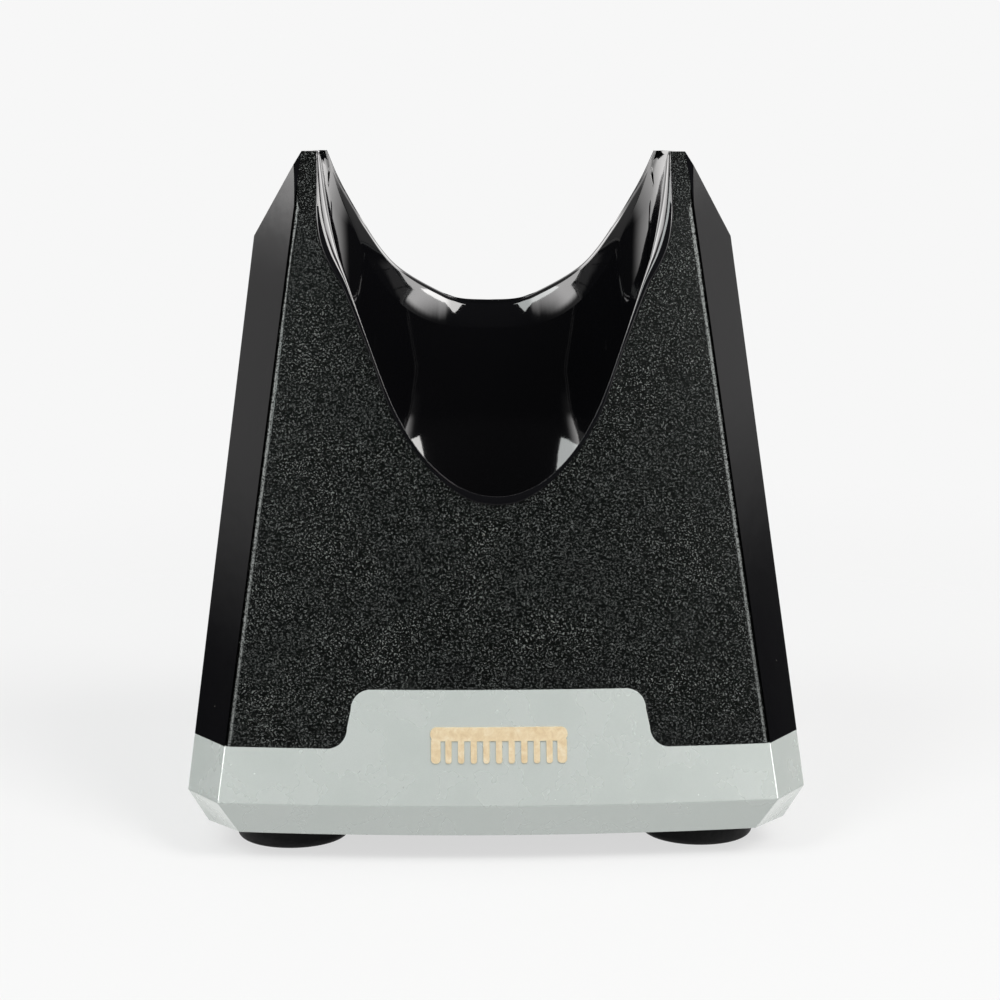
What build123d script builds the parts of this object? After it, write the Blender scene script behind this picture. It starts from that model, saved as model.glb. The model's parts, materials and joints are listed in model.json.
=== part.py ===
"""Charging stand for a cordless hair clipper.

A weighted, eight-sided housing that leans in on every side, with a saddle-shaped
cradle between two horns.  The clipper stands tail-down in the cradle, on a charging
plug that floats on a spring.  Width runs along X, the front faces -Y, up is +Z, and
the origin is on the ground under the middle of the stand.  All sizes are millimetres.
"""

import math
import os

from build123d import *

os.makedirs("parts", exist_ok=True)

# ---------------------------------------------------------------- driving dimensions
FOOT_H = 4.0  # ground to the underside of the trim
TRIM_WIDE = 8.9  # height of the widest line of the trim
TRIM_TOP = 16.3  # joint between trim and body
KINK = 84.8  # where the side face turns into the shoulder bevel
TIP = 97.0  # top of the horns

HX_FRONT = 37.6  # half width of the front face at TRIM_TOP
LEAN_CORNER = 0.125  # and how fast it narrows
HX_SIDE = 42.4  # half width over the side faces at TRIM_TOP
LEAN_SIDE = 0.1125
Y_FRONT = -37.0  # front face at its two corners, at TRIM_TOP
LEAN_FRONT = 0.300
Y_REAR = 36.593
LEAN_REAR = 0.355
CORNER_RUN = 7.3  # depth of the corner facet at TRIM_TOP
CORNER_GROW = 0.0026
CROWN_R = 290.0  # crown of the front and rear faces in plan
BEVEL_RUN = 0.587  # shoulder bevel: run per unit of rise
CREST_R = 55.0  # the front and rear roll back towards the horn tips

PANEL_T = 2.2  # textured panels
PANEL_ROUND = 1.0  # round of their long outer edges
TRIM_ROUND = 0.25
WALL = 2.4  # housing walls
UNDERCUT = 2.7  # how far the trim tucks in at the bottom

CRADLE_Y = -6.0  # middle of the cradle
CRADLE_FLOOR = 30.0
CRADLE_T = 2.0
REAR_POWER = 2.7  # squareness of the rear half of the cradle
LIP_SKIN = 0.4  # cradle wall behind the edges of the panels

FOOT_R = 8.0
FOOT_X, FOOT_Y = 29.0, 24.0
POST_R = 3.6
SCREW_R = 1.5  # M3 self-tapping screws

PLUG_R = 2.0  # charging plug, outside
PLUG_LEN = 9.5
PLUG_TRAVEL = 3.0

JACK_Z = 25.6  # centre of the power inlet
JACK_R = 2.85

# the visible edge of the cradle's lip, seen from the front: half width, height
FRONT_LIP = [
    (0.0, 48.5), (3.2, 49.0), (6.7, 51.0), (10.6, 54.7), (13.7, 59.2), (15.5, 62.8),
    (17.4, 68.0), (19.1, 72.2), (20.5, 75.6), (21.9, 78.7), (23.45, 81.2), (24.7, 84.2),
    (25.25, 88.0), (25.35, 92.4), (25.35, 99.0),
]
REAR_LIP = [
    (0.0, 73.3), (4.7, 73.8), (9.7, 76.1), (13.9, 78.8), (16.6, 81.7), (19.3, 85.8),
    (21.4, 89.4), (23.2, 93.0), (24.7, 97.0), (25.3, 99.0),
]
# cradle bowl: height, half width, front half depth, rear half depth
BOWL = [
    (30.0, 14.5, 14.6, 9.0),
    (36.0, 18.3, 18.6, 12.6),
    (42.0, 21.2, 21.2, 16.2),
    (48.0, 23.0, 22.6, 19.6),
    (54.0, 23.9, 23.1, 22.2),
    (60.0, 24.2, 23.2, 23.2),
    (66.0, 24.2, 23.2, 23.4),
    (73.0, 24.2, 23.3, 23.6),
    (81.0, 24.3, 23.6, 24.0),
    (89.0, 24.6, 24.2, 25.0),
    (96.0, 25.0, 25.0, 26.4),
    (102.0, 25.6, 26.0, 28.2),
]


# ---------------------------------------------------------------- shared forms
def plan(z, side=0.0, front=0.0, rear=0.0, tuck=0.0):
    """Corner positions of the eight-sided outline at a height, with optional insets."""
    t = z - TRIM_TOP
    xf = HX_FRONT - LEAN_CORNER * t
    sag = xf * xf / (2 * CROWN_R)
    run = CORNER_RUN * (1 + CORNER_GROW * t)
    yf, yr = Y_FRONT + LEAN_FRONT * t, Y_REAR - LEAN_REAR * t
    xs = HX_SIDE - LEAN_SIDE * t
    yfs, yrs = yf + run, yr - run
    xf -= 0.62 * side + tuck
    xs -= side + tuck
    yf += front + tuck
    yr -= rear + tuck
    yfs += 0.30 * side + 0.45 * front + 0.45 * tuck
    yrs -= 0.30 * side + 0.45 * rear + 0.45 * tuck
    return xf, xs, yf, yfs, yr, yrs, sag


def outline(z, **inset):
    """Draws the closed outline in the BuildLine block that is open."""
    xf, xs, yf, yfs, yr, yrs, sag = plan(z, **inset)
    ThreePointArc((-xf, yf), (0, yf - sag), (xf, yf))
    Line((xf, yf), (xs, yfs))
    Line((xs, yfs), (xs, yrs))
    Line((xs, yrs), (xf, yr))
    ThreePointArc((xf, yr), (0, yr + sag), (-xf, yr))
    Line((-xf, yr), (-xs, yrs))
    Line((-xs, yrs), (-xs, yfs))
    Line((-xs, yfs), (-xf, yf))


def bowl_outline(a, bf, br, grow=0.0):
    """Closed smooth outline of the cradle: round in front, squarer behind."""
    a, bf, br = a + grow, bf + grow, br + grow
    points = []
    for k in range(28):
        t = 2 * math.pi * k / 28
        c, s = math.cos(t), math.sin(t)
        n = REAR_POWER if s > 1e-9 else 2.0
        x = a * math.copysign(abs(c) ** (2 / n), c) if abs(c) > 1e-9 else 0.0
        y = (br if s > 0 else bf) * math.copysign(abs(s) ** (2 / n), s)
        points.append((x, CRADLE_Y + (y if abs(s) > 1e-9 else 0.0)))
    Spline(*points, periodic=True)


def mirrored(half):
    """A symmetric outline, left to right, from its right half."""
    return [(-x, z) for x, z in reversed(half[1:])] + list(half)


# outer form of the whole stand above the widest line of the trim
with BuildPart() as envelope:
    with BuildSketch(Plane.XY.offset(TRIM_WIDE)):
        with BuildLine():
            outline(TRIM_WIDE)
        make_face()
    with BuildSketch(Plane.XY.offset(TIP)):
        with BuildLine():
            outline(TIP)
        make_face()
    loft(ruled=True)
    # shoulder bevels
    with BuildSketch(Plane.XZ) as bevels:
        x_kink = HX_SIDE - LEAN_SIDE * (KINK - TRIM_TOP)
        x_tip = x_kink - BEVEL_RUN * (TIP + 3 - KINK)
        for s in (-1, 1):
            with BuildLine():
                Polyline(
                    (s * x_kink, KINK), (s * x_tip, TIP + 3), (s * 60, TIP + 3),
                    (s * 60, KINK - 20), (s * (x_kink + BEVEL_RUN * 20), KINK - 20),
                    close=True,
                )
            make_face()
    extrude(amount=60, both=True, mode=Mode.SUBTRACT)
    # the front rolls back towards the tips
    with BuildSketch(Plane.YZ):
        z0 = 82.0
        y0 = Y_FRONT + LEAN_FRONT * (z0 - TRIM_TOP) - 0.6
        th = math.atan(LEAN_FRONT)
        cy, cz = y0 + CREST_R * math.cos(th), z0 - CREST_R * math.sin(th)
        zm, z1 = 91.0, 100.0
        with BuildLine():
            ThreePointArc(
                (y0, z0), (cy - math.sqrt(CREST_R**2 - (zm - cz) ** 2), zm),
                (cy - math.sqrt(CREST_R**2 - (z1 - cz) ** 2), z1),
            )
            Polyline(
                (cy - math.sqrt(CREST_R**2 - (z1 - cz) ** 2), z1), (-60, z1), (-60, z0), (y0, z0)
            )
        make_face()
        y0 = Y_REAR - LEAN_REAR * (z0 - TRIM_TOP) + 1.0
        th = math.atan(LEAN_REAR)
        cy, cz = y0 - CREST_R * math.cos(th), z0 - CREST_R * math.sin(th)
        with BuildLine():
            ThreePointArc(
                (y0, z0), (cy + math.sqrt(CREST_R**2 - (zm - cz) ** 2), zm),
                (cy + math.sqrt(CREST_R**2 - (z1 - cz) ** 2), z1),
            )
            Polyline(
                (cy + math.sqrt(CREST_R**2 - (z1 - cz) ** 2), z1), (60, z1), (60, z0), (y0, z0)
            )
        make_face()
    extrude(amount=60, both=True, mode=Mode.SUBTRACT)

# everything above the trim joint
with BuildPart() as above_trim:
    with BuildSketch(Plane.XY.offset(TRIM_TOP)):
        Rectangle(140, 140)
    extrude(amount=100)

# wedge that the front and rear faces lie in
with BuildPart() as face_wedge:
    with BuildSketch(Plane.XZ):
        lo, hi = 0.0, 110.0
        a = HX_FRONT - LEAN_CORNER * (lo - TRIM_TOP)
        b = HX_FRONT - LEAN_CORNER * (hi - TRIM_TOP)
        with BuildLine():
            Polyline((-a, lo), (a, lo), (b, hi), (-b, hi), close=True)
        make_face()
    extrude(amount=60, both=True)

# the tab of the trim that rises in the middle of the front face
TAB_TOP, TAB_HX, TAB_SPLAY, TAB_R = 24.05, 20.3, 0.5, 2.7


def tab_outline(grow=0.0):
    top, hx = TAB_TOP + grow, TAB_HX + grow
    foot = hx + TAB_SPLAY
    z0 = TRIM_TOP
    r = TAB_R
    k = r * 0.2929
    Polyline((-foot - r, z0 - 6), (foot + r, z0 - 6), (foot + r, z0))
    ThreePointArc((foot + r, z0), (foot + k, z0 + k), (foot, z0 + r))
    Line((foot, z0 + r), (hx, top - r))
    ThreePointArc((hx, top - r), (hx - k, top - k), (hx - r, top))
    Line((hx - r, top), (-hx + r, top))
    ThreePointArc((-hx + r, top), (-hx + k, top - k), (-hx, top - r))
    Line((-hx, top - r), (-foot, z0 + r))
    ThreePointArc((-foot, z0 + r), (-foot - k, z0 + k), (-foot - r, z0))
    Line((-foot - r, z0), (-foot - r, z0 - 6))


with BuildPart() as tab_prism:
    with BuildSketch(Plane.XZ):
        with BuildLine():
            tab_outline()
        make_face()
    extrude(amount=60)  # towards -Y

# the hollow of the cradle, and its outer skin
with BuildPart() as bowl_inner:
    for z, a, bf, br in BOWL:
        with BuildSketch(Plane.XY.offset(z)):
            with BuildLine():
                bowl_outline(a, bf, br)
            make_face()
    loft()
with BuildPart() as bowl_outer:
    for z, a, bf, br in [(CRADLE_FLOOR - CRADLE_T,) + BOWL[0][1:]] + BOWL[1:]:
        skin = CRADLE_T if z < 85 else (1.6 if z < 92 else 1.3)
        with BuildSketch(Plane.XY.offset(z)):
            with BuildLine():
                bowl_outline(a, bf, br, grow=skin)
            make_face()
    loft()

with BuildPart() as bowl_skin:  # the thin wall of the cradle where it passes behind the panels' lips
    for z, a, bf, br in BOWL:
        with BuildSketch(Plane.XY.offset(z)):
            with BuildLine():
                bowl_outline(a, bf, br, grow=LIP_SKIN)
            make_face()
    loft()

# lip prisms: what shows of the cradle through the front and rear faces
with BuildPart() as front_lip_prism:
    with BuildSketch(Plane.XZ.offset(-CRADLE_Y)):
        pts = mirrored(FRONT_LIP)
        with BuildLine():
            Spline(*pts)
            Line(pts[-1], pts[0])
        make_face()
    extrude(amount=60)
with BuildPart() as rear_lip_prism:
    with BuildSketch(Plane.XZ.offset(-CRADLE_Y)):
        pts = mirrored(REAR_LIP)
        with BuildLine():
            Spline(*pts)
            Line(pts[-1], pts[0])
        make_face()
    extrude(amount=-60)


def at(part, x=0.0, y=0.0, z=0.0):
    """A moved copy of a finished form."""
    return part.moved(Location((x, y, z)))


def drum(r, z0, z1, x=0.0, y=0.0, mode=Mode.ADD):
    """An upright cylinder in the part that is open."""
    with BuildSketch(Plane.XY.offset(z0)) as disc:
        with Locations((x, y)):
            Circle(r)
    extrude(disc.sketch, amount=z1 - z0, mode=mode)


def bore(r, z0, z1, x=0.0, y=0.0):
    """An upright round hole in the part that is open."""
    drum(r, z0, z1, x, y, mode=Mode.SUBTRACT)


def block(x0, x1, y0, y1, z0, z1, mode=Mode.ADD):
    """A box between two corners."""
    with BuildSketch(Plane.XY.offset(z0)) as slab:
        with Locations(((x0 + x1) / 2, (y0 + y1) / 2)):
            Rectangle(abs(x1 - x0), abs(y1 - y0))
    extrude(slab.sketch, amount=z1 - z0, mode=mode)


def rod(r, y0, y1, x=0.0, z=0.0, mode=Mode.ADD):
    """A cylinder along Y."""
    with BuildSketch(Plane.XZ.offset(-y0)) as disc:
        with Locations((x, z)):
            Circle(r)
    extrude(disc.sketch, amount=-(y1 - y0), mode=mode)


def ring_wall(z0, z1, outer, inner):
    """A wall between two insets of the outline, straight up."""
    with BuildSketch(Plane.XY.offset(z0)) as wall:
        with BuildLine():
            outline(TRIM_WIDE, **outer)
        make_face()
        with BuildLine():
            outline(TRIM_WIDE, **inner)
        make_face(mode=Mode.SUBTRACT)
    extrude(wall.sketch, amount=z1 - z0)


def turned(points, x=0.0, y=0.0, mode=Mode.ADD):
    """A turned form about an upright axis, from its (radius, height) profile."""
    with BuildSketch(Plane((x, y, 0), x_dir=(1, 0, 0), z_dir=(0, -1, 0))) as profile:
        with BuildLine():
            Polyline(*points, close=True)
        make_face()
    revolve(profile.sketch, axis=Axis((x, y, 0), (0, 0, 1)), mode=mode)


def screw(x, y, seat, head_r, head_h, shank_r, length, up=True):
    """A pan-head screw: its head under the seat and its shank upwards, or the other way."""
    d = 1 if up else -1
    turned(
        [
            (0, seat - d * head_h), (head_r * 0.72, seat - d * head_h), (head_r * 0.93, seat - d * head_h * 0.78),
            (head_r, seat - d * head_h * 0.45), (head_r, seat), (shank_r, seat),
            (shank_r, seat + d * (length - shank_r)), (shank_r * 0.25, seat + d * length), (0, seat + d * length),
        ],
        x, y,
    )
    deep = sorted((seat - d * (head_h + 0.5), seat - d * head_h * 0.35))
    for w, l in ((head_r * 0.14, head_r * 0.62), (head_r * 0.62, head_r * 0.14)):
        block(x - w, x + w, y - l, y + l, deep[0], deep[1], mode=Mode.SUBTRACT)


def face_y(x, z, rear=False):
    """Depth of the front or rear face at a point of it."""
    xf, _, yf, _, yr, _, sag = plan(z)
    bulge = sag * (1 - (x / xf) ** 2)
    return yr + bulge if rear else yf - bulge


def long_sides(edges, rear):
    """The two long outer edges of a textured panel."""
    chosen = []
    for e in edges:
        c = e.center()
        on_side = abs(abs(c.X) - (HX_FRONT - LEAN_CORNER * (c.Z - TRIM_TOP))) < 0.06
        if on_side and abs(c.Y - face_y(c.X, c.Z, rear)) < 0.3 and e.length > 30:
            chosen.append(e)
    return chosen


def on_skin(e, tol=0.08):
    """True for an edge that lies on the outer skin of the stand."""
    for k in (0.02, 0.5, 0.98):
        p = e @ k
        tuck = UNDERCUT * max(0.0, TRIM_WIDE - p.Z) / (TRIM_WIDE - FOOT_H)
        xf, xs, yf, yfs, yr, yrs, sag = plan(max(p.Z, TRIM_WIDE), tuck=tuck)
        x, y = abs(p.X), p.Y
        if x <= xf + 0.05:
            bulge = sag * (1 - (x / xf) ** 2)
            off = min(abs(y - yf + bulge), abs(y - yr - bulge))
        elif y < yfs + 0.05:
            off = abs((x - xf) * (yfs - yf) - (y - yf) * (xs - xf)) / math.hypot(xs - xf, yfs - yf)
        elif y > yrs - 0.05:
            off = abs((x - xf) * (yrs - yr) - (y - yr) * (xs - xf)) / math.hypot(xs - xf, yrs - yr)
        else:
            off = abs(x - xs)
        if off > tol:
            return False
    return True


def span(e):
    """Lowest and highest end of an edge."""
    return min((e @ 0).Z, (e @ 1).Z), max((e @ 0).Z, (e @ 1).Z)


def write(part, name):
    part.label = name
    export_step(part, f"parts/{name}.step")


FEET = [(sx * FOOT_X, sy * FOOT_Y) for sx in (-1, 1) for sy in (-1, 1)]
PEGS = [(s * 27.0, z) for s in (-1, 1) for z in (23.0, 52.0)]
CLEAR = 0.05  # screw shank to its hole
PLATE_TOP = FOOT_H + 2.5
POST_FOOT = 8.5
EAR_X, EAR_Z, EAR_T = 29.5, 38.0, 2.5
GUIDE_BOSS_X = 11.5

# ---------------------------------------------------------------- layers of the envelope
E = envelope.part
behind_front = at(E, y=PANEL_T)
behind_rear = at(E, y=-PANEL_T)

with BuildPart() as front_layer:
    add(E)
    add(face_wedge.part, mode=Mode.INTERSECT)
    add(behind_front, mode=Mode.SUBTRACT)
with BuildPart() as rear_layer:
    add(E)
    add(face_wedge.part, mode=Mode.INTERSECT)
    add(behind_rear, mode=Mode.SUBTRACT)

# ---------------------------------------------------------------- cradle
with BuildPart() as lips:
    add(at(E, y=-0.3))
    add(front_lip_prism.part, mode=Mode.INTERSECT)
with BuildPart() as rear_lips:
    add(at(E, y=0.3))
    add(rear_lip_prism.part, mode=Mode.INTERSECT)
with BuildPart() as skin_form:
    add(bowl_skin.part)
    add(at(E, y=-0.3), mode=Mode.INTERSECT)
    add(at(E, y=0.3), mode=Mode.INTERSECT)
with BuildPart() as cradle_form:  # everything the cradle fills, hollow included
    add(bowl_outer.part)
    add(behind_front, mode=Mode.INTERSECT)
    add(behind_rear, mode=Mode.INTERSECT)
    add(skin_form.part)
    add(lips.part)
    add(rear_lips.part)

with BuildPart() as cradle:
    add(cradle_form.part)
    for s in (-1, 1):
        block(s * 20, s * 33.5, CRADLE_Y - 4.5, CRADLE_Y + 4.5, EAR_Z, EAR_Z + EAR_T)
        drum(2.7, 22.0, 29.0, s * GUIDE_BOSS_X, CRADLE_Y)
    add(bowl_inner.part, mode=Mode.SUBTRACT)
    bore(3.35, 27.0, 31.0, 0, CRADLE_Y)
    for s in (-1, 1):
        bore(1.7, EAR_Z - 1, EAR_Z + EAR_T + 1, s * EAR_X, CRADLE_Y)
        bore(0.9 + CLEAR, 21.5, 28.6, s * GUIDE_BOSS_X, CRADLE_Y)
print("cradle", cradle.part.volume, len(cradle.solids()))
write(cradle.part, "cradle")

# ---------------------------------------------------------------- housing shell
with BuildPart() as shell_cavity:
    for z in (TRIM_TOP - 1, 82.0):
        with BuildSketch(Plane.XY.offset(z)):
            with BuildLine():
                outline(z, side=WALL, front=PANEL_T + 1.8, rear=PANEL_T + 1.8)
            make_face()
    loft(ruled=True)

with BuildPart() as shell_fill:
    for x, y in FEET:
        drum(POST_R, TRIM_TOP - 2, 50.0, x, y)
    for s in (-1, 1):
        drum(3.6, EAR_Z + EAR_T, 54.0, s * EAR_X, CRADLE_Y)
        block(s * EAR_X, s * 40, CRADLE_Y - 1.2, CRADLE_Y + 1.2, EAR_Z + EAR_T, 54.0)
    add(E, mode=Mode.INTERSECT)

with BuildPart() as housing_shell:
    add(E)
    add(above_trim.part, mode=Mode.INTERSECT)
    add(shell_cavity.part, mode=Mode.SUBTRACT)
    add(shell_fill.part)
    add(above_trim.part, mode=Mode.INTERSECT)
    add(front_layer.part, mode=Mode.SUBTRACT)
    add(rear_layer.part, mode=Mode.SUBTRACT)
    # skirt that locates in the trim, and the lower ends of the posts
    ring_wall(TRIM_TOP - 3, TRIM_TOP + 0.4, dict(side=3.7, front=4.9, rear=5.2), dict(side=5.2, front=6.6, rear=6.9))
    for x, y in FEET:
        drum(POST_R, POST_FOOT, TRIM_TOP + 0.5, x, y)
    add(cradle_form.part, mode=Mode.SUBTRACT)
    for x, y in FEET:
        bore(SCREW_R, POST_FOOT - 1, 22.0, x, y)
    for s in (-1, 1):
        bore(SCREW_R, EAR_Z, 50.5, s * EAR_X, CRADLE_Y)
    for x, z in PEGS:
        rod(1.6, -60, 60, x, z, mode=Mode.SUBTRACT)
    rod(4.5, 20, 60, 0, JACK_Z, mode=Mode.SUBTRACT)
print("shell", housing_shell.part.volume, len(housing_shell.solids()), [round(v.volume, 1) for v in housing_shell.solids()])
write(housing_shell.part, "housing_shell")

# ---------------------------------------------------------------- textured panels
with BuildPart() as front_panel:
    add(front_layer.part)
    add(above_trim.part, mode=Mode.INTERSECT)
    add(front_lip_prism.part, mode=Mode.SUBTRACT)
    add(bowl_skin.part, mode=Mode.SUBTRACT)
    add(tab_prism.part, mode=Mode.SUBTRACT)
    for x, z in PEGS:
        y = face_y(x, z) + PANEL_T
        rod(1.5, y - 1.2, y + 3.0, x, z)
    fillet(long_sides(front_panel.edges(), rear=False), PANEL_ROUND)
print("front_panel", front_panel.part.volume, len(front_panel.solids()))
write(front_panel.part, "front_panel")

with BuildPart() as rear_panel:
    add(rear_layer.part)
    add(above_trim.part, mode=Mode.INTERSECT)
    add(rear_lip_prism.part, mode=Mode.SUBTRACT)
    add(bowl_skin.part, mode=Mode.SUBTRACT)
    for x, z in PEGS:
        y = face_y(x, z, rear=True) - PANEL_T
        rod(1.5, y - 3.0, y + 1.2, x, z)
    rod(6.1, 20, 60, 0, JACK_Z, mode=Mode.SUBTRACT)
    fillet(long_sides(rear_panel.edges(), rear=True), PANEL_ROUND)
print("rear_panel", rear_panel.part.volume, len(rear_panel.solids()))
write(rear_panel.part, "rear_panel")

# ---------------------------------------------------------------- trim band with its emblem
COMB_TOP, COMB_HX = 19.2, 9.4
with BuildPart() as comb_prism:
    with BuildSketch(Plane.XZ):
        with Locations((0, COMB_TOP - 0.9)):
            RectangleRounded(2 * COMB_HX, 1.8, 0.85)
        pitch = (2 * COMB_HX - 1.5) / 10
        for k in range(11):
            wide = 1.3 if k in (0, 10) else 0.85
            with Locations((-COMB_HX + 0.75 + k * pitch, COMB_TOP - 3.0)):
                RectangleRounded(wide, 3.4, wide * 0.42)
    extrude(amount=60)
with BuildPart() as trim_emblem:
    add(comb_prism.part)
    add(at(E, y=-0.15), mode=Mode.INTERSECT)
    add(at(E, y=0.45), mode=Mode.SUBTRACT)
print("emblem", trim_emblem.part.volume, len(trim_emblem.solids()))
write(trim_emblem.part, "trim_emblem")

with BuildPart() as above_tab_room:  # everything above the joint except the tab
    add(above_trim.part)
    with BuildSketch(Plane.XZ):
        with BuildLine():
            tab_outline()
        make_face()
    extrude(amount=60, mode=Mode.SUBTRACT)
with BuildPart() as behind_tab:
    add(behind_front)
    add(above_trim.part, mode=Mode.INTERSECT)
with BuildPart() as base_trim:
    add(E)
    add(above_tab_room.part, mode=Mode.SUBTRACT)
    add(behind_tab.part, mode=Mode.SUBTRACT)
    with BuildSketch(Plane.XY.offset(FOOT_H)):
        with BuildLine():
            outline(TRIM_WIDE, tuck=UNDERCUT)
        make_face()
    with BuildSketch(Plane.XY.offset(TRIM_WIDE)):
        with BuildLine():
            outline(TRIM_WIDE)
        make_face()
    loft(ruled=True)
    # seat of the base plate, throat and the wall above the inner lip
    with BuildSketch(Plane.XY.offset(FOOT_H - 1)):
        with BuildLine():
            outline(TRIM_WIDE, tuck=UNDERCUT + 1.6)
        make_face()
    extrude(amount=PLATE_TOP - FOOT_H + 1, mode=Mode.SUBTRACT)
    with BuildSketch(Plane.XY.offset(PLATE_TOP)):
        with BuildLine():
            outline(TRIM_WIDE, tuck=UNDERCUT + 3.0)
        make_face()
    extrude(amount=3, mode=Mode.SUBTRACT)
    with BuildSketch(Plane.XY.offset(PLATE_TOP + 1.6)):
        with BuildLine():
            outline(TRIM_WIDE, side=3.6, front=4.8, rear=5.1)
        make_face()
    extrude(amount=20, mode=Mode.SUBTRACT)
    # small rounds on the corners, on the widest line and along the bottom
    rounds = []
    for e in base_trim.edges():
        lo, hi = span(e)
        if on_skin(e) and (hi < TRIM_WIDE + 0.01 or (hi - lo > 7 and 7 < e.length < 8.2)):
            rounds.append(e)
    fillet(rounds, TRIM_ROUND)
    add(trim_emblem.part, mode=Mode.SUBTRACT)
print("trim", base_trim.part.volume, len(base_trim.solids()))
write(base_trim.part, "base_trim")

# ---------------------------------------------------------------- base plate, ballast, feet, screws
BALLAST_PEGS = [(-13.0, -10.0), (13.0, -10.0)]
BOARD_POSTS = [(-15.0, 22.0), (15.0, 22.0)]
BOARD_Z, BOARD_T = 18.5, 1.6
with BuildPart() as base_plate:
    with BuildSketch(Plane.XY.offset(FOOT_H)):
        with BuildLine():
            outline(TRIM_WIDE, tuck=UNDERCUT + 1.7)
        make_face()
    extrude(amount=PLATE_TOP - FOOT_H)
    for x, y in FEET:
        drum(8.9, PLATE_TOP - 1, POST_FOOT, x, y)
    for x, y in BALLAST_PEGS:
        drum(3.2, PLATE_TOP - 1, 14.0, x, y)
    for x, y in BOARD_POSTS:
        drum(2.6, PLATE_TOP - 1, BOARD_Z, x, y)
    for x, y in FEET:
        bore(FOOT_R + 0.05, FOOT_H - 1, FOOT_H + 1.2, x, y)
        bore(3.0, FOOT_H, 7.0, x, y)
        bore(1.7, 6.0, 10.0, x, y)
    for x, y in BALLAST_PEGS:
        bore(SCREW_R, PLATE_TOP, 15.0, x, y)
    for x, y in BOARD_POSTS:
        bore(1.25, 9.0, 20.0, x, y)
    # the plate's corners clear the trim's inner lip
    with BuildSketch(Plane.XY.offset(PLATE_TOP)) as lip_room:
        Rectangle(140, 140)
        with BuildLine():
            outline(TRIM_WIDE, tuck=UNDERCUT + 3.1)
        make_face(mode=Mode.SUBTRACT)
    extrude(amount=3, mode=Mode.SUBTRACT)
print("plate", base_plate.part.volume, len(base_plate.solids()))
write(base_plate.part, "base_plate")

with BuildPart() as ballast_weight:
    with BuildSketch(Plane.XY.offset(PLATE_TOP)):
        with Locations((0, -9.0)):
            RectangleRounded(50, 42, 3)
        with Locations((-FOOT_X, -FOOT_Y), (FOOT_X, -FOOT_Y)):
            Circle(9.4, mode=Mode.SUBTRACT)
        with Locations(*BALLAST_PEGS):
            Circle(3.3, mode=Mode.SUBTRACT)
    extrude(amount=8.5)
    chamfer(ballast_weight.faces().sort_by(Axis.Z)[-1].outer_wire().edges(), 0.6)
write(ballast_weight.part, "ballast_weight")

with BuildPart() as ballast_screws:
    for x, y in BALLAST_PEGS:
        screw(x, y, PLATE_TOP + 8.5, 5.0, 1.9, SCREW_R - CLEAR, 8.0, up=False)
write(ballast_screws.part, "ballast_screws")

with BuildPart() as base_screws:
    for x, y in FEET:
        screw(x, y, 7.0, 2.8, 1.75, SCREW_R - CLEAR, 13.0)
write(base_screws.part, "base_screws")

FOOT_NAMES = ["foot_front_left", "foot_rear_left", "foot_front_right", "foot_rear_right"]
for (x, y), foot_name in zip(FEET, FOOT_NAMES):
    with BuildPart() as foot:
        with BuildSketch(Plane.XY):
            with Locations((x, y)):
                Circle(FOOT_R)
        extrude(amount=FOOT_H + 1.2)
        fillet(foot.faces().sort_by(Axis.Z)[0].edges(), 0.9)
    write(foot.part, foot_name)

# ---------------------------------------------------------------- cradle screws
with BuildPart() as cradle_screws:
    for s in (-1, 1):
        screw(s * EAR_X, CRADLE_Y, EAR_Z, 2.8, 1.8, SCREW_R - CLEAR, 11.5)
write(cradle_screws.part, "cradle_screws")

# ---------------------------------------------------------------- circuit board and power inlet
with BuildPart() as circuit_board:
    with BuildSketch(Plane.XY.offset(BOARD_Z)):
        with Locations((0, 21.5)):
            RectangleRounded(38, 17, 1)
        with Locations(*BOARD_POSTS):
            Circle(1.35, mode=Mode.SUBTRACT)
    extrude(amount=BOARD_T)
write(circuit_board.part, "circuit_board")
B = BOARD_Z + BOARD_T
with BuildPart() as board_screws:
    for x, y in BOARD_POSTS:
        screw(x, y, B, 2.3, 1.4, 1.2, 9.0, up=False)
write(board_screws.part, "board_screws")

JACK_FRONT = 19.0
with BuildPart() as power_jack_body:
    block(-4.6, 4.6, JACK_FRONT, 29.4, B, JACK_Z + 4.6)
    rod(4.4, 29.0, 34.9, 0, JACK_Z)
    rod(JACK_R, 23.5, 36.0, 0, JACK_Z, mode=Mode.SUBTRACT)
    rod(1.0, 21.0, 24.0, 0, JACK_Z, mode=Mode.SUBTRACT)
print("jack", power_jack_body.part.volume, len(power_jack_body.solids()))
write(power_jack_body.part, "power_jack_body")
with BuildPart() as power_jack_pin:
    rod(1.0, 21.0, 32.6, 0, JACK_Z)
    chamfer(power_jack_pin.faces().sort_by(Axis.Y)[-1].edges(), 0.3)
write(power_jack_pin.part, "power_jack_pin")
with BuildPart() as jack_bezel:
    rod(6.05, 20, 50, 0, JACK_Z)
    rod(4.5, 19, 51, 0, JACK_Z, mode=Mode.SUBTRACT)
    add(at(E, y=0.4), mode=Mode.INTERSECT)
    add(behind_rear, mode=Mode.SUBTRACT)
print("bezel", jack_bezel.part.volume, len(jack_bezel.solids()))
write(jack_bezel.part, "jack_bezel")

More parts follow.
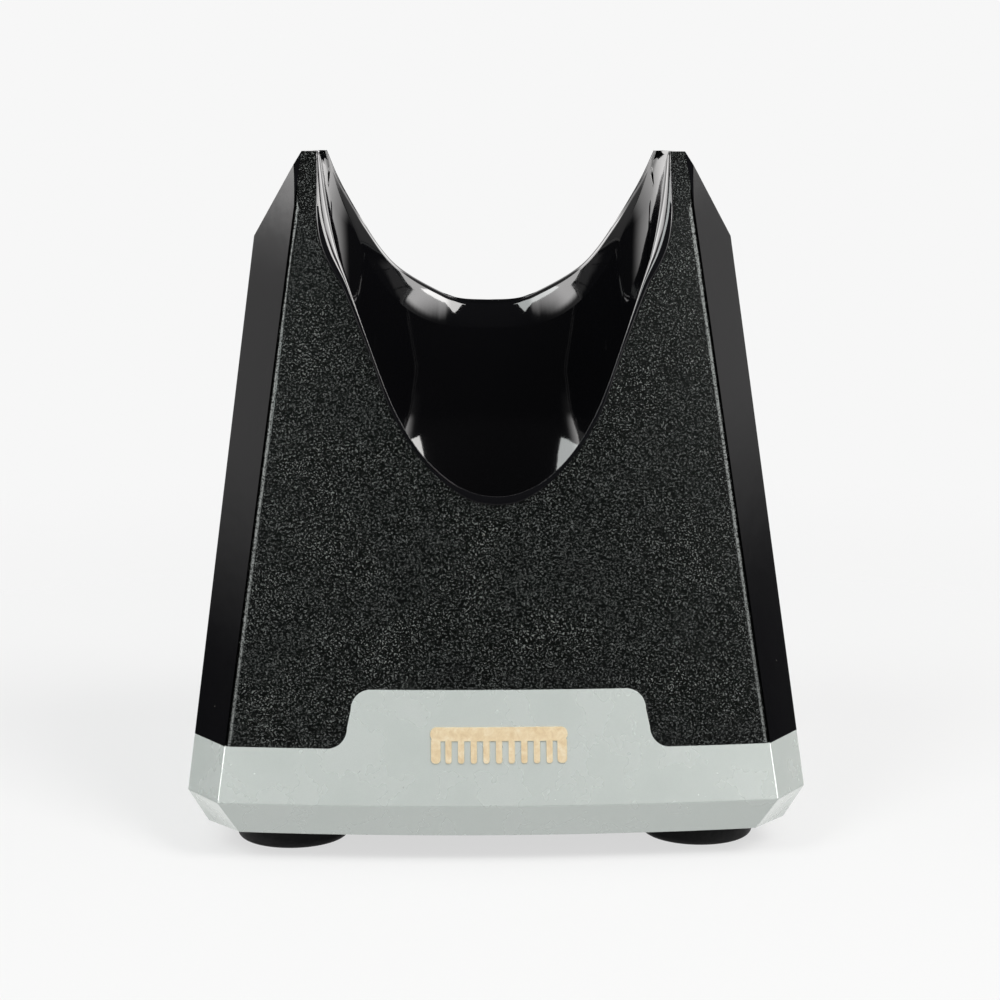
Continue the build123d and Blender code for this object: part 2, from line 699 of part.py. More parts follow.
with BuildPart() as capacitor:
    turned([(0, B), (2.4, B), (2.5, B + 0.5), (2.35, B + 0.9), (2.5, B + 1.3), (2.5, B + 6.2), (2.2, B + 6.5), (0, B + 6.5)], -9.5, 16.5)
write(capacitor.part, "capacitor")
with BuildPart() as protection_diode:
    rod(1.3, 14.3, 18.2, -15.5, B + 1.5)
    rod(0.35, 13.6, 18.9, -15.5, B + 1.5)
    for y in (13.95, 18.55):
        block(-15.85, -15.15, y - 0.35, y + 0.35, B, B + 1.6)
print("diode", protection_diode.part.volume, len(protection_diode.solids()))
write(protection_diode.part, "protection_diode")
with BuildPart() as wire_connector:
    block(7.0, 13.0, 14.2, 18.2, B, B + 4.6)
    for x in (8.6, 11.4):
        rod(0.6, 12.0, 16.0, x, B + 2.4, mode=Mode.SUBTRACT)
    chamfer(wire_connector.faces().sort_by(Axis.Z)[-1].edges(), 0.3)
write(wire_connector.part, "wire_connector")

# ---------------------------------------------------------------- charging plug and its guide
GUIDE_FLOOR = 18.2
SPRING_TOP = 25.0
NOSE_TOP = 31.5
with BuildPart() as plug_guide:
    drum(8.0, 16.5, 28.0, 0, CRADLE_Y)
    for s in (-1, 1):
        drum(2.7, 19.5, 22.0, s * GUIDE_BOSS_X, CRADLE_Y)
        block(s * 7.0, s * GUIDE_BOSS_X, CRADLE_Y - 2.7, CRADLE_Y + 2.7, 19.5, 22.0)
    bore(6.15, GUIDE_FLOOR, 29.0, 0, CRADLE_Y)
    bore(1.1, 15.0, 19.0, 0, CRADLE_Y)
    for s in (-1, 1):
        bore(1.1, 19.0, 22.5, s * GUIDE_BOSS_X, CRADLE_Y)
        block(s * 9.0, s * 15.0, CRADLE_Y - 3, CRADLE_Y + 3, 22.0, 30.0, mode=Mode.SUBTRACT)
    # slot for the tab of the spring terminal
    block(-2.0, 2.0, CRADLE_Y + 4.0, CRADLE_Y + 9.0, GUIDE_FLOOR, GUIDE_FLOOR + 0.4, mode=Mode.SUBTRACT)
print("guide", plug_guide.part.volume, len(plug_guide.solids()))
write(plug_guide.part, "plug_guide")

with BuildPart() as plug_guide_screws:
    for s in (-1, 1):
        screw(s * GUIDE_BOSS_X, CRADLE_Y, 19.5, 1.9, 1.3, 0.9, 8.0)
write(plug_guide_screws.part, "plug_guide_screws")

with BuildPart() as spring_terminal:
    drum(5.6, GUIDE_FLOOR, GUIDE_FLOOR + 0.4, 0, CRADLE_Y)
    block(-1.8, 1.8, CRADLE_Y + 3.0, CRADLE_Y + 10.5, GUIDE_FLOOR, GUIDE_FLOOR + 0.4)
    bore(2.2, 17.0, 20.0, 0, CRADLE_Y)
write(spring_terminal.part, "spring_terminal")

with BuildPart() as centre_terminal:
    drum(1.1, 16.5, 21.2, 0, CRADLE_Y)
    drum(2.4, 16.1, 16.5, 0, CRADLE_Y)
    block(-1.0, 1.0, CRADLE_Y, CRADLE_Y + 10.5, 16.1, 16.5)
    bore(0.75, 15.0, 24.0, 0, CRADLE_Y)
write(centre_terminal.part, "centre_terminal")

TIP_Z = NOSE_TOP + PLUG_LEN
with BuildPart() as plug_barrel:
    turned(
        [
            (1.65, 25.0), (5.2, 25.0), (5.2, 25.5), (2.3, 25.5), (2.3, NOSE_TOP - 0.2), (PLUG_R, NOSE_TOP - 0.1),
            (PLUG_R, TIP_Z - 0.35), (PLUG_R - 0.25, TIP_Z), (1.65, TIP_Z),
        ],
        0, CRADLE_Y,
    )
write(plug_barrel.part, "plug_barrel")
with BuildPart() as plug_insulator:
    turned([(1.2, 25.0), (1.65, 25.0), (1.65, TIP_Z - 0.2), (1.2, TIP_Z - 0.2)], 0, CRADLE_Y)
write(plug_insulator.part, "plug_insulator")
with BuildPart() as plug_centre_contact:
    turned([(0, 18.6), (0.55, 18.6), (0.65, 18.9), (0.65, 24.6), (1.2, 25.0), (1.2, TIP_Z - 0.6), (0.85, TIP_Z - 0.6), (0.85, 32.0), (0, 32.0)], 0, CRADLE_Y)
write(plug_centre_contact.part, "plug_centre_contact")
with BuildPart() as plug_carrier:
    turned(
        [
            (2.3, 25.5), (6.0, 25.5), (6.0, 27.6), (5.8, 27.9), (3.2, 27.9), (3.2, NOSE_TOP - 0.5),
            (2.9, NOSE_TOP - 0.2), (2.3, NOSE_TOP - 0.2),
        ],
        0, CRADLE_Y,
    )
write(plug_carrier.part, "plug_carrier")

SPRING_WIRE, SPRING_R, SPRING_TURNS = 0.35, 4.1, 4.5
z0, z1 = GUIDE_FLOOR + 0.4 + SPRING_WIRE, SPRING_TOP - SPRING_WIRE
with BuildPart() as plug_spring:
    with BuildLine() as coil:
        Helix(pitch=(z1 - z0) / SPRING_TURNS, height=z1 - z0, radius=SPRING_R, center=(0, CRADLE_Y, z0))
    with BuildSketch(Plane(origin=coil.line @ 0, z_dir=coil.line % 0)):
        Circle(SPRING_WIRE)
    sweep(is_frenet=True)
print("spring", plug_spring.part.volume, math.pi * SPRING_WIRE**2 * sum(e.length for e in coil.edges()))
write(plug_spring.part, "plug_spring")

# ---------------------------------------------------------------- leads between the terminals and the board
LEADS = {
    "wire_positive": [(0, 4.5, 16.3), (0, 7.6, 16.3), (11.4, 8.6, 16.8), (11.4, 10.6, 22.5), (11.4, 16.0, B + 2.4)],
    "wire_negative": [(0, 4.5, 18.4), (0, 7.4, 18.4), (8.6, 9.4, 22.5), (8.6, 16.0, B + 2.4)],
}
for lead_name, route in LEADS.items():
    with BuildPart() as lead:
        with BuildLine() as path:
            FilletPolyline(*route, radius=1.4)
        with BuildSketch(Plane(origin=path.line @ 0, z_dir=path.line % 0)):
            Circle(0.55)
        sweep()
    print(lead_name, lead.part.volume, math.pi * 0.55**2 * sum(e.length for e in path.edges()))
    write(lead.part, lead_name)
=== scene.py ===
"""Looks of the charging stand: camera, studio, materials, and the pieces that Blender refines."""
import json
import math

import bpy
import bmesh
from mathutils import Matrix, Vector


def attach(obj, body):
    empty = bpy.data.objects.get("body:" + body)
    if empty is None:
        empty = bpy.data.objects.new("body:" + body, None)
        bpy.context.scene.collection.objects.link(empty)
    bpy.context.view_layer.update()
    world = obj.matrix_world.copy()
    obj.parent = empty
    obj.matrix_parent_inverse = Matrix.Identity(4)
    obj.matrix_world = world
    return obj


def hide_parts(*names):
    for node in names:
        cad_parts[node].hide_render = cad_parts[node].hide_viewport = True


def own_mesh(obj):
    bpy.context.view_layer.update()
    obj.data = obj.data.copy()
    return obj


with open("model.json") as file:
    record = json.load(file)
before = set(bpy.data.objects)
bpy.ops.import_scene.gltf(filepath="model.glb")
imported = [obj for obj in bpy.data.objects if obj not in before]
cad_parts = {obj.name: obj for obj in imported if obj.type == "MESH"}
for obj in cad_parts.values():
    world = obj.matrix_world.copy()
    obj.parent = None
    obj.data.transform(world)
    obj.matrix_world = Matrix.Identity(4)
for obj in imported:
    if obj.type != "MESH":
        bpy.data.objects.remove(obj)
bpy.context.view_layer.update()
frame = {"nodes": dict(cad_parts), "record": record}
nodes = frame["nodes"]
MM = 0.001


# ------------------------------------------------------------------ camera
def make_camera():
    yaw = math.radians(1.792)
    pitch = math.radians(8.896)
    roll = math.radians(-0.09)
    c, s = math.cos(yaw), math.sin(yaw)
    x, y = 1.31 * MM, -351.7 * MM
    data = bpy.data.cameras.new("camera")
    data.sensor_width = 36.0
    data.lens = 84.611
    data.clip_start, data.clip_end = 0.01, 50.0
    cam = bpy.data.objects.new("camera", data)
    bpy.context.scene.collection.objects.link(cam)
    place = Matrix.Rotation(-yaw, 4, "Z") @ Matrix.Rotation(math.radians(90) - pitch, 4, "X") @ Matrix.Rotation(-roll, 4, "Z")
    place.translation = Vector((x * c + y * s, -x * s + y * c, 99.7 * MM))
    cam.matrix_world = place
    bpy.context.scene.camera = cam
    return cam


camera = make_camera()


# ------------------------------------------------------------------ node helpers
class Graph:
    """A short way to write a material's node tree."""

    def __init__(self, name):
        self.mat = bpy.data.materials.new(name)
        self.mat.use_nodes = True
        self.tree = self.mat.node_tree
        self.tree.nodes.clear()
        self.out = self.tree.nodes.new("ShaderNodeOutputMaterial")
        self.bsdf = self.tree.nodes.new("ShaderNodeBsdfPrincipled")
        self.tree.links.new(self.bsdf.outputs[0], self.out.inputs[0])

    def node(self, kind, **values):
        n = self.tree.nodes.new(kind)
        for key, value in values.items():
            if hasattr(n, key) and key not in n.inputs:
                setattr(n, key, value)
            else:
                self.put(n.inputs[key], value)
        return n

    def put(self, socket, value):
        if isinstance(value, bpy.types.NodeSocket):
            self.tree.links.new(value, socket)
        else:
            socket.default_value = value

    def set(self, **values):
        for key, value in values.items():
            self.put(self.bsdf.inputs[key.replace("_", " ")], value)

    def math(self, op, a, b=0.5, c=None, clamp=False):
        n = self.tree.nodes.new("ShaderNodeMath")
        n.operation = op
        n.use_clamp = clamp
        self.put(n.inputs[0], a)
        self.put(n.inputs[1], b)
        if c is not None:
            self.put(n.inputs[2], c)
        return n.outputs[0]

    def mix(self, fac, a, b):
        n = self.tree.nodes.new("ShaderNodeMix")
        n.data_type = "RGBA"
        self.put(n.inputs[0], fac)
        self.put(n.inputs[6], a)
        self.put(n.inputs[7], b)
        return n.outputs[2]

    def ramp(self, fac, stops, interpolation="LINEAR"):
        n = self.tree.nodes.new("ShaderNodeValToRGB")
        n.color_ramp.interpolation = interpolation
        e = n.color_ramp.elements
        while len(e) > 1:
            e.remove(e[-1])
        e[0].position, e[0].color = stops[0][0], grey(stops[0][1])
        for p, c in stops[1:]:
            x = e.new(p)
            x.color = grey(c)
        self.put(n.inputs[0], fac)
        return n.outputs[0]

    def place(self):
        """Position on the part, in metres, which moves with the piece."""
        return self.node("ShaderNodeTexCoord").outputs["Object"]

    def noise(self, where, scale, detail=2.0, rough=0.5, distortion=0.0):
        n = self.node("ShaderNodeTexNoise", Scale=scale, Detail=detail, Roughness=rough, Distortion=distortion)
        self.put(n.inputs["Vector"], where)
        return n.outputs["Fac"]

    def bump(self, height, distance, strength=1.0, normal=None):
        n = self.node("ShaderNodeBump", Strength=strength, Distance=distance)
        self.put(n.inputs["Height"], height)
        if normal is not None:
            self.put(n.inputs["Normal"], normal)
        return n.outputs[0]


def grey(c):
    if isinstance(c, (int, float)):
        return (c, c, c, 1.0)
    return (*c, 1.0) if len(c) == 3 else c


def dress(name, mat):
    o = nodes[name]
    for slot in o.material_slots:
        slot.material = mat
    return o


# ------------------------------------------------------------------ studio
def make_studio():
    """A pale paper sweep: even soft light, dark flags low in front, pale walls up at the sides."""
    world = bpy.data.worlds.new("studio")
    bpy.context.scene.world = world
    world.use_nodes = True
    t = world.node_tree
    t.nodes.clear()

    def new(kind):
        return t.nodes.new(kind)

    def calc(op, a, b=0.0, c=0.0):
        n = new("ShaderNodeMath")
        n.operation = op
        for k, v in enumerate((a, b, c)):
            if isinstance(v, bpy.types.NodeSocket):
                t.links.new(v, n.inputs[k])
            else:
                n.inputs[k].default_value = v
        return n.outputs[0]

    def band(x, lo0, lo1, hi1=None, hi0=None):
        """Rises from 0 to 1 between lo0 and lo1, and falls again between hi1 and hi0."""
        n = new("ShaderNodeMapRange")
        n.interpolation_type = "SMOOTHSTEP"
        t.links.new(x, n.inputs["Value"])
        n.inputs["From Min"].default_value, n.inputs["From Max"].default_value = lo0, lo1
        up = n.outputs[0]
        if hi1 is None:
            return up
        n = new("ShaderNodeMapRange")
        n.interpolation_type = "SMOOTHSTEP"
        t.links.new(x, n.inputs["Value"])
        n.inputs["From Min"].default_value, n.inputs["From Max"].default_value = hi1, hi0
        n.inputs["To Min"].default_value, n.inputs["To Max"].default_value = 1.0, 0.0
        return calc("MULTIPLY", up, n.outputs[0])

    def s(deg):
        return math.sin(math.radians(deg))

    out = new("ShaderNodeOutputWorld")
    seen, glossy, soft = (new("ShaderNodeBackground") for _ in range(3))
    seen.inputs[0].default_value = (0.93, 0.93, 0.93, 1)
    soft.inputs[0].default_value = (SOFT, SOFT, SOFT, 1)
    path = new("ShaderNodeLightPath")
    first, second = new("ShaderNodeMixShader"), new("ShaderNodeMixShader")
    t.links.new(path.outputs["Is Glossy Ray"], first.inputs[0])
    t.links.new(soft.outputs[0], first.inputs[1])
    t.links.new(glossy.outputs[0], first.inputs[2])
    t.links.new(path.outputs["Is Camera Ray"], second.inputs[0])
    t.links.new(first.outputs[0], second.inputs[1])
    t.links.new(seen.outputs[0], second.inputs[2])
    t.links.new(second.outputs[0], out.inputs[0])

    coord = new("ShaderNodeTexCoord")
    sep = new("ShaderNodeSeparateXYZ")
    t.links.new(coord.outputs["Generated"], sep.inputs[0])
    X, Y, Z = sep.outputs
    side = calc("ABSOLUTE", X)

    # pale walls at the sides, from 19 degrees up
    walls = calc("MULTIPLY", band(side, 0.45, 0.75), band(Z, s(2), s(7.5)))
    # the table below
    table = calc("SUBTRACT", 1.0, band(Z, s(-42), s(-30)))
    # the paper behind the stand
    paper = band(Y, s(28), s(50))
    # two tall windows, right and left, level with the horns
    tall = calc("MULTIPLY", band(side, 0.52, 0.70), band(Z, s(11.5), s(18), s(33), s(39)))
    # a dim ceiling in front
    front = calc("MULTIPLY", band(calc("MULTIPLY", Y, -1.0), 0.3, 0.7), band(Z, s(12), s(30), s(52), s(62)))
    value = calc("MULTIPLY", walls, WALLS)
    value = calc("MULTIPLY_ADD", table, 0.45, value)
    value = calc("MAXIMUM", value, calc("MULTIPLY", paper, PAPER))
    value = calc("MULTIPLY_ADD", front, FRONT, value)
    value = calc("MULTIPLY_ADD", tall, TALL, value)
    value = calc("ADD", value, 0.012)
    tint = new("ShaderNodeCombineColor")
    t.links.new(value, tint.inputs[0])
    t.links.new(calc("MULTIPLY", value, 0.985), tint.inputs[1])
    t.links.new(calc("MULTIPLY", value, 0.98), tint.inputs[2])
    t.links.new(tint.outputs[0], glossy.inputs[0])

    def area(name, loc, target, size, size_y, power, color=(1, 1, 1)):
        d = bpy.data.lights.new(name, "AREA")
        d.shape = "RECTANGLE"
        d.size, d.size_y, d.energy, d.color = size, size_y, power, color
        o = bpy.data.objects.new(name, d)
        o.location = loc
        o.rotation_euler = (Vector(target) - Vector(loc)).to_track_quat("-Z", "Y").to_euler()
        bpy.context.scene.collection.objects.link(o)
        return o

    for row in LIGHTS:
        area(*row)

    # the sweep under the stand fades into the paper, so that no horizon shows
    bm = bmesh.new()
    rings, spokes = [0.0, 0.04, 0.08, 0.12, 0.18, 0.26, 0.36], 64
    loops = []
    for r in rings:
        if r == 0.0:
            loops.append([bm.verts.new((0, 0, 0))])
        else:
            loops.append([bm.verts.new((r * math.cos(2 * math.pi * k / spokes), r * math.sin(2 * math.pi * k / spokes), 0)) for k in range(spokes)])
    for a, b in zip(loops, loops[1:]):
        for k in range(spokes):
            m = (k + 1) % spokes
            if len(a) == 1:
                bm.faces.new((a[0], b[k], b[m]))
            else:
                bm.faces.new((a[k], b[k], b[m], a[m]))
    me = bpy.data.meshes.new("floor")
    bm.to_mesh(me)
    bm.free()
    floor = bpy.data.objects.new("floor", me)
    bpy.context.scene.collection.objects.link(floor)
    g = Graph("floor_paper")
    g.set(Base_Color=(0.22, 0.22, 0.22, 1), Roughness=0.95, Specular_IOR_Level=0.0, Emission_Color=(1, 1, 1, 1), Emission_Strength=FLOOR_GLOW)
    length = g.node("ShaderNodeVectorMath", operation="LENGTH")
    g.put(length.inputs[0], g.place())
    fade = g.node("ShaderNodeMapRange")
    fade.interpolation_type = "SMOOTHSTEP"
    g.put(fade.inputs["Value"], length.outputs["Value"])
    for key, value in (("From Min", 0.07), ("From Max", 0.34), ("To Min", 1.0), ("To Max", 0.0)):
        g.put(fade.inputs[key], value)
    clear = g.node("ShaderNodeBsdfTransparent")
    mix = g.node("ShaderNodeMixShader")
    g.put(mix.inputs[0], fade.outputs[0])
    g.tree.links.new(clear.outputs[0], mix.inputs[1])
    g.tree.links.new(g.bsdf.outputs[0], mix.inputs[2])
    g.tree.links.new(mix.outputs[0], g.out.inputs[0])
    me.materials.append(g.mat)
    floor.visible_glossy = False


SOFT, WALLS, PAPER, FRONT, TALL, FLOOR_GLOW = 0.60, 0.40, 1.15, 0.015, 8.0, 0.645
LIGHTS = [
    ("softbox_left", (-0.46, -0.50, 0.74), (0, 0, 0.05), 0.34, 0.42, 4.0, (0.96, 1.0, 0.99)),
    ("softbox_right", (0.48, -0.50, 0.74), (0, 0, 0.05), 0.36, 0.44, 6.8, (1.0, 0.985, 0.97)),
]
make_studio()
bpy.context.scene.view_settings.view_transform = "Standard"
bpy.context.scene.view_settings.look = "None"

# ------------------------------------------------------------------ materials
def specks(g, where, scale, size, keep):
    """Sparse dust: 1 on small dots, 0 elsewhere."""
    v = g.node("ShaderNodeTexVoronoi", Scale=scale)
    g.put(v.inputs["Vector"], where)
    dot = g.math("LESS_THAN", v.outputs["Distance"], size)
    sep = g.node("ShaderNodeSeparateColor")
    g.put(sep.inputs[0], v.outputs["Color"])
    chosen = g.math("LESS_THAN", sep.outputs[0], keep)
    return g.math("MULTIPLY", dot, chosen)


def grain_black():
    """Moulded leather-like grain: short worm-like ridges about half a millimetre apart, with painted glints: the ridge
    tops are coloured lighter.
    """
    g = Graph("grain_black")
    where = g.place()
    fine = g.noise(where, 4500.0, 1.0, 0.5, 0.1)
    pebble = g.ramp(fine, [(0.34, 0.0), (0.56, 0.04), (0.64, 0.60), (0.72, 1.0)])
    cloud = g.noise(where, 105.0, 2.0, 0.5)
    depth = g.node("ShaderNodeMapRange")
    g.put(depth.inputs["Value"], cloud)
    for key, value in (("From Min", 0.34), ("From Max", 0.66), ("To Min", 0.30), ("To Max", 1.0)):
        g.put(depth.inputs[key], value)
    height = g.math("MULTIPLY", pebble, depth.outputs[0])
    g.set(Normal=g.bump(height, 0.00012, 1.0))
    # painted highlight: the base colour runs from near black in the hollows to pale grey on the ridge tops, painting
    # the glints of light on the grain
    tone = g.ramp(height, [(0.0, (0.0012, 0.0013, 0.0012)), (0.30, (0.0040, 0.0044, 0.0040)), (0.62, (0.036, 0.040, 0.036)), (1.0, (0.125, 0.135, 0.126))])
    g.set(Base_Color=tone)
    g.set(Roughness=g.ramp(pebble, [(0.0, 0.20), (0.3, 0.16), (1.0, 0.20)]))
    g.set(IOR=1.46, Specular_Tint=(0.93, 1.0, 0.975, 1.0))
    return g.mat


def gloss_black(name="gloss_black", rough=0.075, dust=0.05):
    """Polished black moulding with a faint orange peel, hairline haze and a little dust."""
    g = Graph(name)
    where = g.place()
    peel = g.noise(where, 210.0, 2.0, 0.5)
    g.set(Normal=g.bump(peel, 0.000012, 1.0))
    haze = g.noise(where, 60.0, 3.0, 0.6)
    g.set(Roughness=g.ramp(haze, [(0.3, rough * 0.8), (0.7, rough * 1.35)]))
    dots = specks(g, where, 330.0, 0.028, dust)
    g.set(Base_Color=g.mix(dots, grey((0.0035, 0.0035, 0.0042)), grey((0.16, 0.15, 0.14))))
    g.set(IOR=1.52)
    return g.mat


def satin_silver():
    """Silver-sprayed moulding: soft metallic with a cool, slightly mottled tone."""
    g = Graph("satin_silver")
    where = g.place()
    mottle = g.noise(where, 150.0, 3.0, 0.6)
    flake = g.noise(where, 9000.0, 1.0, 0.5)
    soft = g.ramp(mottle, [(0.3, (0.615, 0.662, 0.634)), (0.5, (0.625, 0.670, 0.643)), (0.7, (0.635, 0.676, 0.652))])
    spark = g.ramp(flake, [(0.35, 0.97), (0.65, 1.03)])
    mul = g.node("ShaderNodeMix")
    mul.data_type, mul.blend_type = "RGBA", "MULTIPLY"
    g.put(mul.inputs[0], 1.0)
    g.put(mul.inputs[6], soft)
    g.put(mul.inputs[7], spark)
    g.set(Base_Color=mul.outputs[2])
    g.set(Metallic=0.42)
    g.set(Roughness=g.ramp(mottle, [(0.3, 0.25), (0.7, 0.29)]))
    g.set(Normal=g.bump(flake, 0.0000025, 1.0))
    g.set(IOR=1.5)
    return g.mat


def gold_inlay():
    """Pale gold foil with a slightly clouded face."""
    g = Graph("gold_inlay")
    where = g.place()
    cloud = g.noise(where, 900.0, 4.0, 0.62, 0.4)
    g.set(Base_Color=g.ramp(cloud, [(0.30, (0.66, 0.50, 0.30)), (0.50, (0.78, 0.63, 0.41)), (0.66, (0.88, 0.76, 0.56))]))
    g.set(Metallic=0.35)
    g.set(Roughness=g.ramp(cloud, [(0.3, 0.42), (0.7, 0.27)]))
    g.set(Normal=g.bump(cloud, 0.00002, 0.6))
    return g.mat


def moulded(name, color, rough, grain=0.00003, scale=1400.0, spread=0.18, ior=1.48, dust=0.0):
    """Plain moulded plastic or rubber with fine spark texture and slight tone drift."""
    g = Graph(name)
    where = g.place()
    spark = g.noise(where, scale, 2.0, 0.6)
    drift = g.noise(where, 70.0, 2.0, 0.5)
    lo = tuple(c * (1 - spread) for c in color)
    hi = tuple(min(1.0, c * (1 + spread)) for c in color)
    tone = g.ramp(drift, [(0.3, lo), (0.7, hi)])
    if dust:
        tone = g.mix(specks(g, where, 900.0, 0.09, dust), tone, grey((0.22, 0.21, 0.20)))
    g.set(Base_Color=tone)
    g.set(Roughness=g.ramp(spark, [(0.3, max(0.02, rough - 0.07)), (0.7, min(1.0, rough + 0.07))]))
    g.set(Normal=g.bump(spark, grain, 1.0))
    g.set(IOR=ior)
    return g.mat


def metal(name, color, rough, brush=None, worn=0.12):
    """Plated or turned metal; brush gives the stretch of its fine marks along each axis."""
    g = Graph(name)
    where = g.place()
    if brush:
        mapping = g.node("ShaderNodeMapping")
        g.put(mapping.inputs["Vector"], where)
        g.put(mapping.inputs["Scale"], brush)
        where2 = mapping.outputs[0]
    else:
        where2 = where
    marks = g.noise(where2, 2600.0, 2.0, 0.6)
    stain = g.noise(where, 260.0, 3.0, 0.6)
    lo = tuple(c * (1 - worn) for c in color)
    g.set(Base_Color=g.ramp(stain, [(0.35, lo), (0.6, color)]))
    g.set(Metallic=1.0)
    g.set(Roughness=g.ramp(marks, [(0.3, max(0.03, rough - 0.08)), (0.7, rough + 0.1)]))
    g.set(Normal=g.bump(marks, 0.000006, 1.0))
    return g.mat


def board_green():
    """Solder-masked board with copper tracks that show as lighter green lines."""
    g = Graph("board_green")
    where = g.place()
    weave = g.node("ShaderNodeTexBrick", Scale=260.0)
    weave.offset = 0.37
    g.put(weave.inputs["Vector"], where)
    g.put(weave.inputs["Mortar Size"], 0.035)
    g.put(weave.inputs["Mortar Smooth"], 0.4)
    g.put(weave.inputs["Color1"], grey((0.012, 0.085, 0.030)))
    g.put(weave.inputs["Color2"], grey((0.010, 0.070, 0.026)))
    g.put(weave.inputs["Mortar"], grey((0.035, 0.19, 0.075)))
    g.set(Base_Color=weave.outputs["Color"])
    g.set(Roughness=g.ramp(g.noise(where, 500.0, 2.0), [(0.3, 0.22), (0.7, 0.4)]))
    g.set(Normal=g.bump(weave.outputs["Fac"], 0.00003, 0.6))
    return g.mat


looks = {
    "gloss_black": gloss_black(),
    "grain_black": grain_black(),
    "cradle_black": gloss_black("cradle_black", 0.045, 0.06),
    "satin_silver": satin_silver(),
    "gold_inlay": gold_inlay(),
    "plate_black": moulded("plate_black", (0.018, 0.018, 0.019), 0.55, 0.00004, 1500.0),
    "ballast_steel": metal("ballast_steel", (0.42, 0.42, 0.44), 0.42, (0.15, 1.0, 1.0), 0.3),
    "foot_rubber": moulded("foot_rubber", (0.007, 0.007, 0.0075), 0.72, 0.00005, 1900.0, 0.25, 1.45, 0.02),
    "screw_steel": metal("screw_steel", (0.55, 0.55, 0.57), 0.3),
    "board_green": board_green(),
    "jack_black": moulded("jack_black", (0.016, 0.016, 0.017), 0.4, 0.00002, 1600.0),
    "contact_nickel": metal("contact_nickel", (0.72, 0.70, 0.66), 0.2),
    "bezel_black": moulded("bezel_black", (0.012, 0.012, 0.013), 0.26, 0.000012, 900.0),
    "capacitor_sleeve": moulded("capacitor_sleeve", (0.02, 0.035, 0.11), 0.3, 0.000015, 700.0, 0.1),
    "diode_epoxy": moulded("diode_epoxy", (0.02, 0.02, 0.02), 0.5, 0.00003, 2000.0),
    "connector_white": moulded("connector_white", (0.72, 0.70, 0.64), 0.42, 0.00002, 1200.0, 0.05),
    "wire_red": moulded("wire_red", (0.50, 0.02, 0.018), 0.36, 0.00001, 800.0, 0.08),
    "wire_black": moulded("wire_black", (0.02, 0.02, 0.02), 0.38, 0.00001, 800.0),
    "guide_black": moulded("guide_black", (0.02, 0.02, 0.021), 0.5, 0.00003, 1500.0),
    "terminal_brass": metal("terminal_brass", (0.78, 0.58, 0.28), 0.26, None, 0.25),
    "carrier_black": moulded("carrier_black", (0.017, 0.017, 0.018), 0.38, 0.00002, 1500.0),
    "insulator_black": moulded("insulator_black", (0.03, 0.03, 0.03), 0.45, 0.00002, 1500.0),
    "spring_steel": metal("spring_steel", (0.60, 0.60, 0.62), 0.24, None, 0.15),
}
for sub in frame["record"]["subparts"]:
    dress(sub["node"], looks[sub["material_slot"]])


# ------------------------------------------------------------------ the cradle, with its rolled lip
# Heights and widths in millimetres, as the part's own drawing gives them.
TRIM_TOP, TIP, KINK = 16.3, 97.0, 84.8
CRADLE_Y, FLOOR_Z = -6.0, 30.0
BOWL = [
    (30.0, 14.5, 14.6, 9.0), (36.0, 18.3, 18.6, 12.6), (42.0, 21.2, 21.2, 16.2), (48.0, 23.0, 22.6, 19.6),
    (54.0, 23.9, 23.1, 22.2), (60.0, 24.2, 23.2, 23.2), (66.0, 24.2, 23.2, 23.4), (73.0, 24.2, 23.3, 23.6),
    (81.0, 24.3, 23.6, 24.0), (89.0, 24.6, 24.2, 25.0), (96.0, 25.0, 25.0, 26.4), (102.0, 25.6, 26.0, 28.2),
]
FRONT_LIP = [
    (0.0, 48.5), (3.2, 49.0), (6.7, 51.0), (10.6, 54.7), (13.7, 59.2), (15.5, 62.8), (17.4, 68.0), (19.1, 72.2),
    (20.5, 75.6), (21.9, 78.7), (23.45, 81.2), (24.7, 84.2), (25.25, 88.0), (25.35, 92.4), (25.35, 97.0),
]
REAR_LIP = [
    (0.0, 73.3), (4.7, 73.8), (9.7, 76.1), (13.9, 78.8), (16.6, 81.7), (19.3, 85.8), (21.4, 89.4), (23.2, 93.0), (24.7, 97.0),
]


def smooth_table(rows, t):
    """Monotone-ish cubic through a table whose first column rises."""
    n = len(rows)
    if t <= rows[0][0]:
        return rows[0][1:]
    if t >= rows[-1][0]:
        return rows[-1][1:]
    k = max(i for i in range(n - 1) if rows[i][0] <= t)
    p0, p1, p2, p3 = rows[max(k - 1, 0)], rows[k], rows[k + 1], rows[min(k + 2, n - 1)]
    h = p2[0] - p1[0]
    u = (t - p1[0]) / h
    out = []
    for c in range(1, len(p1)):
        m1 = (p2[c] - p0[c]) / (p2[0] - p0[0]) * h
        m2 = (p3[c] - p1[c]) / (p3[0] - p1[0]) * h
        out.append(
            (2 * u**3 - 3 * u**2 + 1) * p1[c] + (u**3 - 2 * u**2 + u) * m1 + (-2 * u**3 + 3 * u**2) * p2[c] + (u**3 - u**2) * m2
        )
    return tuple(out)


def wall(u, z, grow=0.0):
    """A point of the bowl's inside at an angle in plan (radians) and a height."""
    a, bf, br = smooth_table(BOWL, z)
    a, bf, br = a + grow, bf + grow, br + grow
    c, s = math.cos(u), math.sin(u)
    n = 2.7 if s > 0 else 2.0
    x = math.copysign(abs(c) ** (2 / n), c) * a if abs(c) > 1e-9 else 0.0
    y = math.copysign(abs(s) ** (2 / n), s) * (br if s > 0 else bf) if abs(s) > 1e-9 else 0.0
    return Vector((x, CRADLE_Y + y, z))


def crest(y0, lean, z0, z, sign):
    """Depth of the rolled crest above z0."""
    th = math.atan(lean)
    r = 55.0
    cy, cz = y0 - sign * r * math.cos(th), z0 - r * math.sin(th)
    return cy + sign * math.sqrt(max(r * r - (z - cz) ** 2, 0.0))


